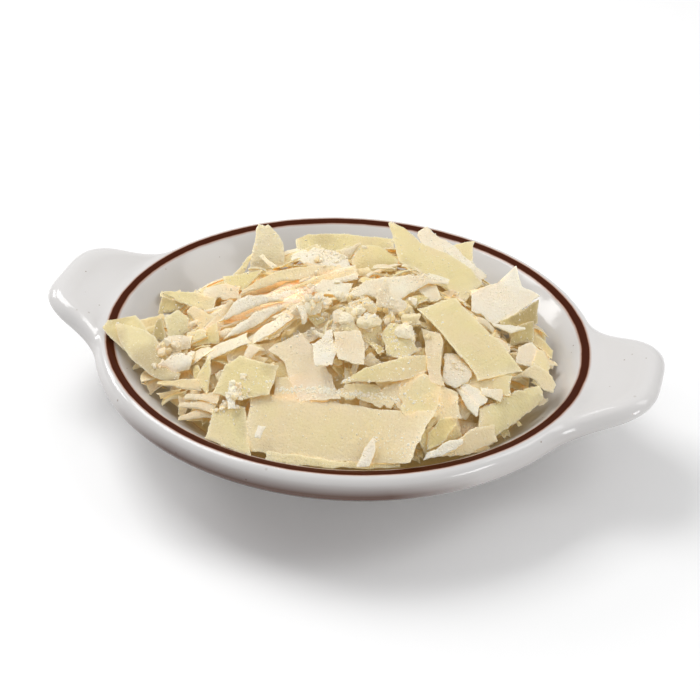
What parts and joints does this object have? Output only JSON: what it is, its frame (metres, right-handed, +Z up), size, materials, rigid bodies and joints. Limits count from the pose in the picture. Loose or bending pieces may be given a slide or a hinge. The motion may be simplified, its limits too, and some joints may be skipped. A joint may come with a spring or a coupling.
{
  "type": "dish of shaved parmesan",
  "caption": "Oval stoneware dish with two ear handles and a brown rim line, heaped with thin shavings and flakes of hard cheese.",
  "frame": {"origin": "bottom centre, on the surface that the dish stands on", "axes": "+Z up, X along the dish's long axis through both ears, -Y towards the side that the picture shows"},
  "size_m": [0.2232, 0.1634, 0.065],
  "materials": {
    "glaze": "glossy off-white glaze with small brown specks and a brown line round the rim",
    "cheese": "dry pale cream cheese, slightly translucent, with white powdery crumbs"
  },
  "bodies": {
    "root": {"dish": "glaze", "cheese": "cheese"}
  },
  "joints": []
}
